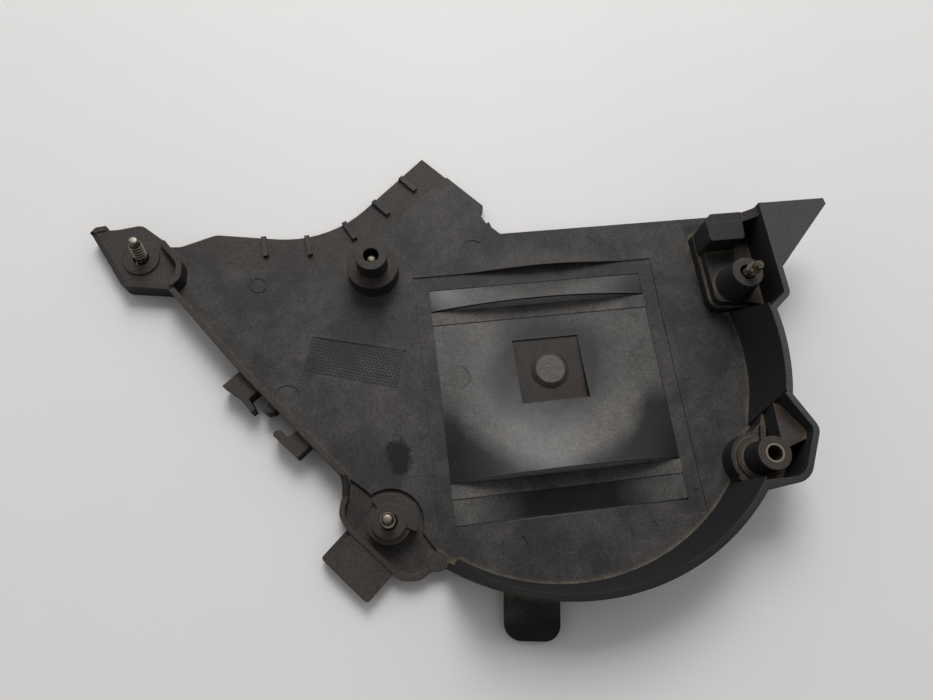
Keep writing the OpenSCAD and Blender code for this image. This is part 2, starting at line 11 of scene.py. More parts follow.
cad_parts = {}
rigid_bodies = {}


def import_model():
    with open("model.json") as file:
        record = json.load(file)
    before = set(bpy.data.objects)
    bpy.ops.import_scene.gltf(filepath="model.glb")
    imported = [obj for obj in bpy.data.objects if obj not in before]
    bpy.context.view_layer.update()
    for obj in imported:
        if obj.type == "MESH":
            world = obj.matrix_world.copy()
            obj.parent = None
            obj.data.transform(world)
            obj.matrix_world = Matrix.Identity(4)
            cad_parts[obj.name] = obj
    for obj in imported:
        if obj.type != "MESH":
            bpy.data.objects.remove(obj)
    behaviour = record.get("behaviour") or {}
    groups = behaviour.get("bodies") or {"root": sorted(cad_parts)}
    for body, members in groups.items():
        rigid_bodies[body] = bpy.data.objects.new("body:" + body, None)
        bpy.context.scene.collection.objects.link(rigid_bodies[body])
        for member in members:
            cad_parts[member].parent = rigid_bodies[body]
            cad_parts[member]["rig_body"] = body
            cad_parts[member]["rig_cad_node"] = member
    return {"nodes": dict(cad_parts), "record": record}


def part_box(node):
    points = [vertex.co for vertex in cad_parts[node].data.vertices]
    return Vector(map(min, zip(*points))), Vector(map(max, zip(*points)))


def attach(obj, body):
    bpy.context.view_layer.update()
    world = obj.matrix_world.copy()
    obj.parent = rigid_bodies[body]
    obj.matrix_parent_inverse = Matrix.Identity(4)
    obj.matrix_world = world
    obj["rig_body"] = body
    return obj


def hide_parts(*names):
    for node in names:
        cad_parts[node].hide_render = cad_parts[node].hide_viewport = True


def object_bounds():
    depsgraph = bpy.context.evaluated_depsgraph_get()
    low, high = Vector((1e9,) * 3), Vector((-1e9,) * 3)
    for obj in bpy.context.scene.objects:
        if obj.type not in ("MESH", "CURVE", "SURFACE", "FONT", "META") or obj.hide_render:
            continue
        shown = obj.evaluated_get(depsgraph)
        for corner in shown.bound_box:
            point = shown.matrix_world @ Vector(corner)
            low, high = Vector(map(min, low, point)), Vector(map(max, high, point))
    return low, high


bl_info = {
    "name": "Timing cover",
    "version": (1, 0, 0),
    "blender": (4, 5, 0),
    "location": "View3D > Sidebar > Timing cover",
    "description": "Finishes a moulded timing cover with its bolts, bush and stage",
    "category": "Object",
}

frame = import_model()
CAD_BOX = [list(corner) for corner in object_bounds()]
MM = 0.001

# Node kinds and settings that come up often
MATH, VECTOR_MATH, REMAP, MIX = "ShaderNodeMath", "ShaderNodeVectorMath", "ShaderNodeMapRange", "ShaderNodeMix"
NOISE, SPLIT, PLACED = "ShaderNodeTexNoise", "ShaderNodeSeparateXYZ", "ShaderNodeMapping"
ADD, MULTIPLY, MAXIMUM = ({"operation": name} for name in ("ADD", "MULTIPLY", "MAXIMUM"))
LENGTH, ABSOLUTE = ({"operation": name} for name in ("LENGTH", "ABSOLUTE"))
COLOUR, NUMBER = {"data_type": "RGBA"}, {"data_type": "FLOAT"}
LOCAL = {"vector_type": "TEXTURE"}

# Where the ribs of the moulding run out, in millimetres and degrees
FLOOR_TOP, DRAFT_TOP, RIM_TOP = 3, 30, 31.42
FOOT_ENDS = ((7.5, 4.5, 0.0), (-15.9, -6.5, -0.5), (-42.3, 2.5, 2.5))  # angle, turn at the floor, turn at the top
FOOT_RADII, DRAFT_RADII = (96.5, 103.2), (100.8, 101.5)
LOBE, LOBE_R, LOBE_DISC, LOBE_WALL = (-63.6, -81.5), 4.3, 7.2, 6.53
EAR_BOLT, EAR_PAD_R, EAR_SIDE = (-189.5, 73), 8.2, -176
EAR_FLOORS, EAR_FLOOR = (6.9, 8.98), 9.05
EAR_CORNER, EAR_ALONG, EAR_OUT = Vector((-214, 89)), Vector((0.4684, -0.8835)), Vector((-0.8835, -0.4684))
EAR_EDGE, EAR_RIM, EAR_SLOPE = (0.5, 33.5), 9.2, 7.2
PLATE_X, PLATE_Y, PLATE_TOP, PLATE_REACH = (93, 95.3), (65, 75), 3.1, 3.5
SMOOTH_MOULDING, SMOOTH_STEEL, SHARP = 22, 32, 35  # angles up to which faces are smooth, and past which edges round

TABLE_SIDE, TABLE_GAP = 8, 0.2 * MM
SOFT_BORDER = 0.4 * MM


def srgb(hex_colour):
    """An sRGB hex colour as linear red, green, blue and alpha."""
    parts = [int(hex_colour[i:i + 2], 16) / 255 for i in (1, 3, 5)]
    linear = [c / 12.92 if c <= 0.04045 else ((c + 0.055) / 1.055) ** 2.4 for c in parts]
    return (*linear, 1.0)


def colour(name, description, default):
    return FloatVectorProperty(
        name=name, description=description, subtype="COLOR", size=4, min=0, max=1, default=srgb(default))


def length(name, description, default_mm):
    return FloatProperty(
        name=name, description=description, subtype="DISTANCE", unit="LENGTH", default=default_mm * MM)


def span(name, description, default_mm):
    """Two places between which a finish sets in or ends."""
    return FloatVectorProperty(
        name=name, description=description, size=2, unit="LENGTH", default=[v * MM for v in default_mm])


def rectangle(name, description, default_mm):
    """Middle and half size of a rectangle on the floor."""
    return FloatVectorProperty(
        name=name, description=description, size=4, unit="LENGTH", default=[v * MM for v in default_mm])


def angle(name, description, degrees):
    return FloatProperty(
        name=name, description=description, subtype="ANGLE", unit="ROTATION", default=math.radians(degrees))


def share(name, description, default):
    return FloatProperty(name=name, description=description, subtype="FACTOR", min=0, max=1, default=default)


class NylonSettings(bpy.types.PropertyGroup):
    """Glass-filled nylon of the moulding."""

    body: colour("Nylon", "Colour of clean black nylon", "#161617")
    film: colour("Film", "Grey film on the open floor", "#4a4745")
    brown: colour("Brown film", "Brown film on the bosses, ears and pad", "#3b322c")
    # Pale colour of the painted reflections on the louvres, of the painted light on the bars in front of them and of
    # the painted sheen on the top of the button
    painted_light: colour("Bloom", "Pale film on the louvres", "#625f5b")
    rim: colour("Rim", "Colour of the rubbed rims", "#3f3f42")
    dust: colour("Dust", "Brown dust that lies in the corners", "#75664f")
    stain: colour("Stain", "Colour of the oily spot", "#070606")
    grain: length("Grain", "Width of the moulded grain, drawn coarse enough to show", 0.9)
    blotch: length("Blotch", "Width of the faded patches", 34)
    patch: length("Patch", "Width of the dusty patches", 7)
    dust_reach: length("Dust reach", "How far the dust spreads from a corner", 3.5)
    edge: length("Edge radius", "Rounding of the moulded edges", 0.7)
    louvre_edge: length("Louvre edge", "Rounding of the edges in the louvred square", 0.12)
    square: rectangle("Square", "Middle and half size of the louvred square", (0, -10.6, 61.3, 64.5))
    upper: rectangle("Upper louvre", "Middle and half size of the upper louvre", (0, 40.8, 53.9, 5.6))
    middle: rectangle("Middle louvre", "Middle and half size of the middle louvre", (0, -10.5, 53.9, 38.2))
    lower: rectangle("Lower louvre", "Middle and half size of the lower louvre", (0, -61.9, 53.9, 5.7))
    upper_bar: rectangle("Upper bar", "Bar in front of the upper louvre", (0, 31.3, 53.9, 3.4))
    lower_bar: rectangle("Lower bar", "Bar in front of the middle louvre", (0, -52.6, 53.9, 3.4))
    pad: rectangle("Pad", "Middle and half size of the sunken pad", (0, 0, 16.2, 16.2))
    block: rectangle("Block", "Clean block on the upper right ledge", (93.5, 60.5, 10.5, 10.5))
    spot: rectangle("Oily spot", "Middle and half size of the oily spot", (-75.5, -34.4, 5.2, 8.8))
    panel: rectangle("Rough panel", "Panel with the fine grid", (-92.7, 12.9, 21.9, 9.2))
    panel_turn: angle("Panel turn", "Turn of the rough panel", -16.8)
    cell: length("Cell", "Width of one cell of the fine grid, drawn coarse enough to show", 1.9)
    # Where the film ends on the lower tab, which is left black as painted shade
    tab: span("Lower tab", "Y over which the film ends on the lower tab", (-112, -106))
    # Where the painted reflection on the middle, lower and upper louvres sets in and ends
    reflection_start: span("Bloom start", "Distance from the button over which the bloom sets in", (22, 35))
    reflection_end: span("Bloom end", "Distance from the button over which it ends in the near corners", (43, 52))
    reflection_drift: span("Bloom drift", "How far the border of the bloom wanders", (-4, 4))
    near_corners: span("Near corners", "Y over which the near corners of the middle louvre begin", (-8, -22))
    lower_ends: span("Lower ends", "Distance from the middle over which the lower louvre pales", (20, 44))
    upper_end: span("Upper end", "X over which the bloom of the upper louvre ends", (28, 44))
    raised: span("Raised", "Height over which what stands above the floor begins", (3.6, 5.5))
    sunk: span("Sunk", "Height over which what lies below the floor begins", (2.6, 1.9))
    button: span("Button", "Radius over which the rubbed top of the button ends", (7.5, 6.6))
    # The pale top of the button is a painted sheen
    foot: span("Foot", "Distance from the pulley's middle over which the foot of the wall begins", (94, 96.5))
    dusty_side: span("Dusty side", "X over which the dust grows thicker", (-75, -50))
    top: span("Top", "Height over which the top of the tall wall begins", (30.9, 31.3))
    rubbed_side: span("Rubbed side", "Y over which the rubbing of the rim grows", (-90, -35))
    floor: span("Floor", "Height over which the floor ends", (4.5, 3.5))


class SteelSettings(bpy.types.PropertyGroup):
    """Zinc plated steel of the bolts and the bush."""

    plate: colour("Zinc", "Colour of the zinc plating", "#8a8374")
    # Dark colour of grime and painted shade in the corners and at the root of the thread
    grime_and_shade: colour("Grime", "Dark grime on the zinc", "#2a2521")
    grease: colour("Grease", "Old grease between the threads", "#1a1715")
    grit: colour("Grit", "Brown grit that sticks in the grease", "#8a6f4c")
    cloud: length("Cloud", "Width of the dull patches on the zinc", 2)
    smear: length("Smear", "Width of the smears in the grease", 1.6)
    corner: length("Corner", "How far the grime spreads from a corner", 0.8)
    thread_d: length("Thread", "Outer diameter of the thread", 6)
    core_d: length("Core", "Diameter at the root of the thread", 4.2)
    pitch: length("Pitch", "Distance from one thread to the next, drawn coarse enough to show", 2.1)
    waist_d: length("Waist", "Diameter of the shank under the thread", 5.2)
    bolt_l: length("Long bolt", "Length of a long bolt under its head", 20)
    short_l: length("Short bolt", "Length of the short bolt under its head", 12)
    short_waist: length("Short waist", "Plain shank of the short bolt", 3)
    tip_l: length("Tip", "Length of the bevelled tip", 0.9)
    head_af: length("Across flats", "Width of the head across its flats", 10)
    head_h: length("Head", "Height of the head with its flange", 5)
    flange_d: length("Flange", "Diameter of the flange", 12.5)
    flange_t: length("Flange thickness", "Thickness of the flange", 1.6)
    lap: length("Lap", "How far one length of the bolt runs into the next", 0.2)
    steps: IntProperty(name="Steps", description="Steps in one turn of the thread", default=24, min=8, max=64)


class StageSettings(bpy.types.PropertyGroup):
    """Table, lamp, room and camera."""

    table: colour("Table", "Colour of the pale table", "#e4e2df")
    scuff: length("Scuff", "Width of the faint scuffs on the table", 60)
    eye: FloatVectorProperty(
        name="Camera", description="Place of the camera", subtype="TRANSLATION", unit="LENGTH",
        default=(-0.0708, -0.08584, 0.303))
    turn: FloatVectorProperty(
        name="Camera turn", description="Turn of the camera", subtype="EULER", unit="ROTATION",
        default=[math.radians(a) for a in (18.8409, -3.6889, -6.9958)])
    lens: FloatProperty(
        name="Lens", description="Focal length on a 36 mm sensor", subtype="DISTANCE_CAMERA", unit="CAMERA",
        default=25.37)
    key_power: FloatProperty(
        name="Key lamp", description="Power of the large lamp beyond the cover", subtype="POWER", unit="POWER",
        default=24)
    key_place: FloatVectorProperty(
        name="Key place", description="Place of the large lamp", subtype="TRANSLATION", unit="LENGTH",
        default=(0.1, 1.35, 1.45))
    key_size: length("Key size", "Side of the large lamp", 1000)
    room: colour("Room", "Colour of the light from the room", "#e8e8ea")
    walls: FloatProperty(
        name="Far walls", description="Strength of the light from the far side of the room", default=1.2)
    near: FloatProperty(
        name="Near walls", description="Strength of the light from behind the camera", default=0.65)
    ceiling: share("Ceiling", "Share of that light that comes from overhead", 0.6)
    shade: share("Shade", "Share of the light that passes whoever holds the camera", 0.05)
    shade_edge: angle("Shade edge", "Angle round the camera that is shaded", 50)


def deselect():
    """Leaves edit mode and selects nothing, because an operator acts on all that is selected."""
    if bpy.context.object and bpy.context.object.mode != "OBJECT":
        bpy.ops.object.mode_set(mode="OBJECT")
    bpy.ops.object.select_all(action="DESELECT")


def wire(tree, node, **links):
    """Sets a node's sockets, each by its name, or by its number as in _0. A socket gets a node, whose first
    live output is taken, an output socket, or a plain value."""
    for name, value in links.items():
        socket = node.inputs[int(name[1:])] if name[1:].isdigit() else node.inputs[name.replace("_", " ")]
        if isinstance(value, bpy.types.Node):
            value = next(output for output in value.outputs if output.enabled)
        if isinstance(value, bpy.types.NodeSocket):
            tree.links.new(value, socket)
        else:
            socket.default_value = value


def add_node(tree, kind, settings=None, **links):
    """A new node with its settings and links."""
    node = tree.nodes.new(kind)
    for key, value in (settings or {}).items():
        setattr(node, key, value)
    wire(tree, node, **links)
    return node


def new_material(name):
    """An empty material with its shader and output, and the place of each point on the piece."""
    material = bpy.data.materials.new(name)
    material.use_nodes = True
    tree = material.node_tree
    tree.nodes.clear()
    shader = add_node(tree, "ShaderNodeBsdfPrincipled")
    add_node(tree, "ShaderNodeOutputMaterial", Surface=shader)
    place = add_node(tree, "ShaderNodeTexCoord").outputs["Object"]
    return material, tree, shader, place


def dress(piece, material):
    """Gives a piece one material."""
    piece.data.materials.clear()
    piece.data.materials.append(material)


def inside(tree, place, box, turn=0.0):
    """A mask that is 1 inside a rectangle on the floor and 0 outside it."""
    local = add_node(tree, PLACED, LOCAL, Vector=place, Location=(*box[:2], 0), Rotation=(0, 0, turn))
    axes = add_node(tree, SPLIT, Vector=add_node(tree, VECTOR_MATH, ABSOLUTE, _0=local))
    sides = [
        add_node(tree, REMAP, Value=axes.outputs[axis], From_Min=size + SOFT_BORDER, From_Max=size - SOFT_BORDER)
        for axis, size in zip("XY", box[2:])
    ]
    return add_node(tree, MATH, MULTIPLY, _0=sides[0], _1=sides[1])


def product(tree, first, layers):
    """The product of several masks."""
    for layer in layers:
        first = add_node(tree, MATH, MULTIPLY, _0=first, _1=layer)
    return first


def cover_marks(tree, look, place):
    """What the finishes of the moulding depend on: place, height, distance from the button, slope and patches."""
    flat = add_node(tree, VECTOR_MATH, MULTIPLY, _0=place, _1=(1, 1, 0))
    normal = add_node(tree, "ShaderNodeNewGeometry").outputs["Normal"]
    facing = add_node(tree, SPLIT, Vector=normal).outputs["Z"]
    axes = add_node(tree, SPLIT, Vector=place)
    return SimpleNamespace(
        place=place,
        x=axes.outputs["X"],
        y=axes.outputs["Y"],
        z=axes.outputs["Z"],
        reach=add_node(tree, VECTOR_MATH, LENGTH, _0=flat),
        upward=add_node(tree, REMAP, Value=facing, From_Min=0.5, From_Max=0.88),
        blotch=add_node(tree, NOISE, Vector=place, Scale=1 / look.blotch, Detail=8, Roughness=0.65),
        patch=add_node(tree, NOISE, Vector=place, Scale=1 / look.patch, Detail=6, Roughness=0.7),
        grain=add_node(tree, NOISE, Vector=place, Scale=1 / look.grain, Detail=2, Roughness=0.6),
    )


def painted_louvre_reflections(tree, look, marks, zones, polished, fine, shade):
    """Paints the reflections on the louvres in a pale colour, in cloudy patches: a ring round the pad, the ends of
    the lower one, most of the upper one.
    """
    drift = add_node(
        tree, REMAP, Value=marks.blotch, From_Min=0.3, From_Max=0.7,
        To_Min=look.reflection_drift[0], To_Max=look.reflection_drift[1])
    wander = add_node(tree, MATH, ADD, _0=marks.reach, _1=drift)
    start = add_node(tree, REMAP, Value=wander, From_Min=look.reflection_start[0], From_Max=look.reflection_start[1])
    end = add_node(
        tree, REMAP, Value=wander, From_Min=look.reflection_end[0], From_Max=look.reflection_end[1], To_Min=1, To_Max=0)
    below = add_node(tree, REMAP, Value=marks.y, From_Min=look.near_corners[0], From_Max=look.near_corners[1])
    corners = add_node(tree, MIX, NUMBER, Factor=below, A=0.8, B=end)
    away = add_node(tree, MATH, ABSOLUTE, _0=marks.x)
    shares = {
        "middle": add_node(tree, MATH, MULTIPLY, _0=start, _1=corners),
        "lower": add_node(
            tree, REMAP, Value=away, From_Min=look.lower_ends[0], From_Max=look.lower_ends[1], To_Max=0.85),
        "upper": add_node(
            tree, REMAP, Value=marks.x, From_Min=look.upper_end[0], From_Max=look.upper_end[1],
            To_Min=0.7, To_Max=0.15),
    }
    cloudy = add_node(tree, REMAP, Value=marks.blotch, From_Min=0.3, From_Max=0.6, To_Min=0.7)
    for name, part in shares.items():
        painted_light = product(tree, polished, (zones[name], part, cloudy, fine, marks.upward))
        shade = add_node(tree, MIX, COLOUR, Factor=painted_light, A=shade, B=look.painted_light)
    return shade


def oily_spot(tree, look, marks, shade):
    """An oily oval with a ragged border on the floor."""
    x, y, half_x, half_y = look.spot
    oval = add_node(
        tree, PLACED, LOCAL, Vector=marks.place, Location=(x, y, 0), Rotation=(0, 0, 0.25), Scale=(half_x, half_y, 1))
    ring = add_node(tree, VECTOR_MATH, LENGTH, _0=oval)
    tear = add_node(tree, REMAP, Value=marks.patch, From_Min=0.3, From_Max=0.7, To_Min=-0.35, To_Max=0.35)
    ragged = add_node(tree, MATH, ADD, _0=ring, _1=tear)
    wet = add_node(tree, REMAP, Value=ragged, From_Min=1.15, From_Max=0.8, To_Max=0.95)
    low = add_node(tree, REMAP, Value=marks.z, From_Min=look.floor[0], From_Max=look.floor[1])
    return add_node(tree, MIX, COLOUR, Factor=product(tree, wet, (low,)), A=shade, B=look.stain)


def rough_panel(tree, look, marks, shade):
    """A panel with a fine grid of dashes."""
    grid = add_node(
        tree, PLACED, LOCAL, Vector=marks.place, Location=(*look.panel[:2], 0), Rotation=(0, 0, look.panel_turn))
    cells = add_node(
        tree, "ShaderNodeTexBrick", Vector=grid, Scale=1.0, Mortar_Size=0.2 * look.cell, Mortar_Smooth=0.3,
        Brick_Width=look.cell, Row_Height=0.8 * look.cell)
    worn = add_node(tree, REMAP, Value=cells.outputs["Fac"], To_Min=0.75, To_Max=0.15)
    grooves = product(tree, inside(tree, marks.place, look.panel, look.panel_turn), (worn,))
    return add_node(tree, MIX, COLOUR, Factor=grooves, A=shade, B=look.body)


def nylon_material(look):
    """Moulded glass-filled nylon: black and satin on the louvres under cloudy painted reflections, matt under a grey
    film on the grained floor, brown on what stands higher, with rubbed rims, dust in the corners and one oily spot.
    Painted light lies also on the bars in front of the louvres and on the top of the button, and painted shade on the
    lower tab."""
    material, tree, shader, place = new_material("moulded_nylon")
    marks = cover_marks(tree, look, place)
    square, pad = inside(tree, place, look.square), inside(tree, place, look.pad)
    zones = {name: inside(tree, place, getattr(look, name)) for name in ("upper", "middle", "lower")}
    louvres = add_node(
        tree, MATH, ADD, _0=zones["upper"],
        _1=add_node(tree, MATH, ADD, _0=zones["middle"], _1=zones["lower"]))
    polished = add_node(tree, MATH, {"operation": "SUBTRACT", "use_clamp": True}, _0=louvres, _1=pad)
    matt = add_node(tree, REMAP, Value=polished, To_Min=1, To_Max=0.06)

    # The grey film lies on faces that look up, and is worn off the louvres and the block; the lower tab is left
    # without it, black as painted shade
    faded = add_node(tree, REMAP, Value=marks.blotch, From_Min=0.42, From_Max=0.58, To_Min=0.4)
    fine = add_node(tree, REMAP, Value=marks.patch, From_Min=0.36, From_Max=0.6, To_Min=0.7)
    tab = add_node(tree, REMAP, Value=marks.y, From_Min=look.tab[0], From_Max=look.tab[1], To_Min=0.05)
    block = add_node(tree, REMAP, Value=inside(tree, place, look.block), To_Min=1, To_Max=0.3)
    film = product(tree, marks.upward, (faded, fine, tab, block, matt))
    shade = add_node(tree, MIX, COLOUR, Factor=film, A=look.body, B=look.film)
    shade = painted_louvre_reflections(tree, look, marks, zones, polished, fine, shade)

    # The bars in front of the two upper louvres are painted pale, as painted light that falls on them
    for bar in (look.upper_bar, look.lower_bar):
        pale = product(tree, inside(tree, place, bar), (faded,))
        shade = add_node(tree, MIX, COLOUR, Factor=pale, A=shade, B=look.painted_light)

    # What stands above the floor or lies below it, and the pad, is browner; the top of the button is painted pale, a
    # painted sheen
    raised = add_node(tree, REMAP, Value=marks.z, From_Min=look.raised[0], From_Max=look.raised[1])
    sunk = add_node(tree, REMAP, Value=marks.z, From_Min=look.sunk[0], From_Max=look.sunk[1])
    outside = add_node(tree, REMAP, Value=square, To_Min=1, To_Max=0)
    uneven = add_node(tree, REMAP, Value=marks.patch, From_Min=0.36, From_Max=0.62, To_Min=0.3, To_Max=0.9)
    stepped = add_node(tree, MATH, MAXIMUM, _0=raised, _1=product(tree, sunk, (outside, uneven)))
    high = add_node(tree, MATH, MAXIMUM, _0=stepped, _1=pad)
    brown = product(tree, high, (film,))
    shade = add_node(tree, MIX, COLOUR, Factor=brown, A=shade, B=look.brown)
    button = add_node(
        tree, REMAP, Value=marks.reach, From_Min=look.button[0], From_Max=look.button[1], To_Max=0.8)
    shade = add_node(tree, MIX, COLOUR, Factor=button, A=shade, B=look.painted_light)

    # Dust keeps to the foot of the tall wall and to the corners of what stands on the floor
    corner = add_node(
        tree, "ShaderNodeAmbientOcclusion", {"samples": 8, "only_local": True}, Distance=look.dust_reach)
    hollow = add_node(tree, REMAP, Value=corner.outputs["AO"], From_Min=0.85, From_Max=0.5)
    foot = add_node(tree, REMAP, Value=marks.reach, From_Min=look.foot[0], From_Max=look.foot[1])
    where = add_node(tree, MATH, MAXIMUM, _0=foot, _1=stepped)
    thick = add_node(
        tree, REMAP, Value=marks.x, From_Min=look.dusty_side[0], From_Max=look.dusty_side[1], To_Min=0.25)
    heaps = add_node(tree, REMAP, Value=marks.patch, From_Min=0.36, From_Max=0.6, To_Min=0.2, To_Max=0.9)
    dusty = product(tree, hollow, (marks.upward, where, thick, heaps))
    shade = add_node(tree, MIX, COLOUR, Factor=dusty, A=shade, B=look.dust)

    # The top of the tall wall is rubbed, most of all towards the fin
    top = add_node(tree, REMAP, Value=marks.z, From_Min=look.top[0], From_Max=look.top[1])
    side = add_node(tree, REMAP, Value=marks.y, From_Min=look.rubbed_side[0], From_Max=look.rubbed_side[1])
    rim = add_node(tree, MIX, COLOUR, Factor=side, A=look.body, B=look.rim)
    shade = add_node(tree, MIX, COLOUR, Factor=product(tree, marks.upward, (top,)), A=shade, B=rim)
    shade = oily_spot(tree, look, marks, shade)
    shade = rough_panel(tree, look, marks, shade)

    # The moulded grain holds dirt, so the whole surface is finely speckled
    speckle = add_node(tree, REMAP, Value=marks.grain, From_Min=0.35, From_Max=0.65, To_Min=0.7, To_Max=1.25)
    shade = add_node(tree, MIX, COLOUR | {"blend_type": "MULTIPLY"}, Factor=1.0, A=shade, B=speckle)

    coarse = product(tree, marks.grain, (matt,))
    radius = add_node(tree, REMAP, Value=square, To_Min=look.edge, To_Max=look.louvre_edge)
    rounded = add_node(tree, "ShaderNodeBevel", {"samples": 4}, Radius=radius)
    relief = add_node(
        tree, "ShaderNodeBump", Strength=0.35, Distance=0.15 * MM, Height=coarse, Normal=rounded)
    dull = add_node(tree, REMAP, Value=marks.blotch, From_Min=0.35, From_Max=0.7, To_Min=0.64, To_Max=0.8)
    satin = add_node(tree, REMAP, Value=marks.patch, From_Min=0.35, From_Max=0.7, To_Min=0.36, To_Max=0.46)
    gloss = add_node(tree, MIX, NUMBER, Factor=polished, A=dull, B=satin)
    wire(tree, shader, Base_Color=shade, Roughness=gloss, Normal=relief, IOR=1.53, Specular_IOR_Level=0.3)
    return material


def steel_material(look):
    """Zinc plated steel: a dull bright metal with cloudy patches, darkened in its corners and at the root of its
    thread by grime and painted shade.
    """
    material, tree, shader, place = new_material("zinc_plated_steel")
    cloud = add_node(tree, NOISE, Vector=place, Scale=1 / look.cloud, Detail=4, Roughness=0.6)
    # Corners and the root of the thread are darkened: grime and painted shade
    corner = add_node(
        tree, "ShaderNodeAmbientOcclusion", {"samples": 8, "only_local": True}, Distance=look.corner)
    grime_and_shade = add_node(tree, REMAP, Value=corner.outputs["AO"], From_Min=0.85, From_Max=0.35)
    root = add_node(tree, "ShaderNodeAttribute", {"attribute_name": "root"}).outputs["Fac"]
    gap = add_node(tree, REMAP, Value=root, From_Min=0.18, From_Max=0.42)
    dark = add_node(tree, MATH, MAXIMUM, _0=grime_and_shade, _1=gap)
    shade = add_node(tree, MIX, COLOUR, Factor=dark, A=look.plate, B=look.grime_and_shade)
    dull = add_node(tree, REMAP, Value=cloud, From_Min=0.3, From_Max=0.7, To_Min=0.38, To_Max=0.6)
    relief = add_node(tree, "ShaderNodeBump", Strength=0.1, Distance=0.05 * MM, Height=cloud)
    wire(tree, shader, Base_Color=shade, Roughness=dull, Normal=relief, Metallic=1.0)
    return material


def grease_material(look):
    """Old grease on steel: nearly black and smeared, with brown grit stuck in it."""
    material, tree, shader, place = new_material("greasy_steel")
    smear = add_node(tree, NOISE, Vector=place, Scale=1 / look.smear, Detail=5, Roughness=0.7)
    specks = add_node(tree, REMAP, Value=smear, From_Min=0.5, From_Max=0.62, To_Max=0.85)
    shade = add_node(tree, MIX, COLOUR, Factor=specks, A=look.grease, B=look.grit)
    dull = add_node(tree, REMAP, Value=smear, From_Min=0.3, From_Max=0.7, To_Min=0.35, To_Max=0.8)
    relief = add_node(tree, "ShaderNodeBump", Strength=0.3, Distance=0.1 * MM, Height=smear)
    wire(tree, shader, Base_Color=shade, Roughness=dull, Normal=relief)
    return material


def ease(piece):
    """Softens the moulding where its ribs run out: the foot of the tall wall runs on into the ledge and the
    lower right ear, its top meets the rim, the round end of the low wall sinks to the wall's height, the
    floor of the upper left ear rises round its pad, that ear's outer edge slopes, and the plate meets the block."""
    for vertex in piece.data.vertices:
        x, y, z = vertex.co / MM
        radius, bearing = math.hypot(x, y), math.degrees(math.atan2(y, x))
        for end, low, high in FOOT_ENDS:
            if FOOT_RADII[0] < radius < FOOT_RADII[1] and abs(bearing - end) < 0.12:
                rise = (z - FLOOR_TOP) / (DRAFT_TOP - FLOOR_TOP)
                turn = math.radians(bearing + low + (high - low) * rise)
                vertex.co.x, vertex.co.y = radius * math.cos(turn) * MM, radius * math.sin(turn) * MM
        if abs(z - DRAFT_TOP) < 0.02 and DRAFT_RADII[0] < radius < DRAFT_RADII[1]:
            vertex.co.z = RIM_TOP * MM
        if z > LOBE_DISC and math.dist((x, y), LOBE) < LOBE_R:
            vertex.co.z = LOBE_WALL * MM
        if x < EAR_SIDE and EAR_FLOORS[0] < z < EAR_FLOORS[1] and math.dist((x, y), EAR_BOLT) > EAR_PAD_R:
            vertex.co.z = EAR_FLOOR * MM
        edge = Vector((x, y)) - EAR_CORNER
        if z > EAR_RIM and abs(edge @ EAR_OUT) < 0.4 and EAR_EDGE[0] < edge @ EAR_ALONG < EAR_EDGE[1]:
            vertex.co.z = EAR_SLOPE * MM
        if PLATE_X[0] < x < PLATE_X[1] and PLATE_Y[0] < y < PLATE_Y[1] and z < PLATE_TOP:
            vertex.co.x += PLATE_REACH * MM


class COVER_OT_moulding(bpy.types.Operator):
    """Finish the nylon moulding with smooth louvres and its dusty surface"""

    bl_idname = "timing_cover.moulding"
    bl_label = "Moulding"

    def execute(self, context):
        deselect()
        node = frame["nodes"]["cover"]
        node.select_set(True)
        context.view_layer.objects.active = node
        bpy.ops.object.duplicate()
        piece = context.object
        piece.name = "moulding"
        piece.parent = None
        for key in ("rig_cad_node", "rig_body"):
            if key in piece:
                del piece[key]
        bpy.ops.mesh.customdata_custom_splitnormals_clear()
        bpy.ops.object.mode_set(mode="EDIT")
        bpy.ops.mesh.select_all(action="SELECT")
        bpy.ops.mesh.remove_doubles(threshold=0.002 * MM)
        bpy.ops.object.mode_set(mode="OBJECT")
        ease(piece)
        bpy.ops.object.shade_smooth_by_angle(angle=math.radians(SMOOTH_MOULDING))
        dress(piece, nylon_material(context.scene.cover_nylon))
        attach(piece, "root")
        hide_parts("cover")
        return {"FINISHED"}


def turned(radius, low, high, edge, sides=40):
    """A turned or hexagonal length of the bolt, standing on its axis from low to high, with rounded edges."""
    deselect()
    bpy.ops.mesh.primitive_cylinder_add(
        vertices=sides, radius=radius, depth=high - low, location=(0, 0, (low + high) / 2))
    piece = bpy.context.object
    bpy.ops.object.transform_apply(location=True, rotation=True, scale=True)
    bevel = piece.modifiers.new("round", "BEVEL")
    bevel.width = edge
    bevel.segments = 2
    bevel.limit_method = "ANGLE"
    bevel.angle_limit = math.radians(SHARP)
    bpy.ops.object.modifier_apply(modifier=bevel.name)
    return piece


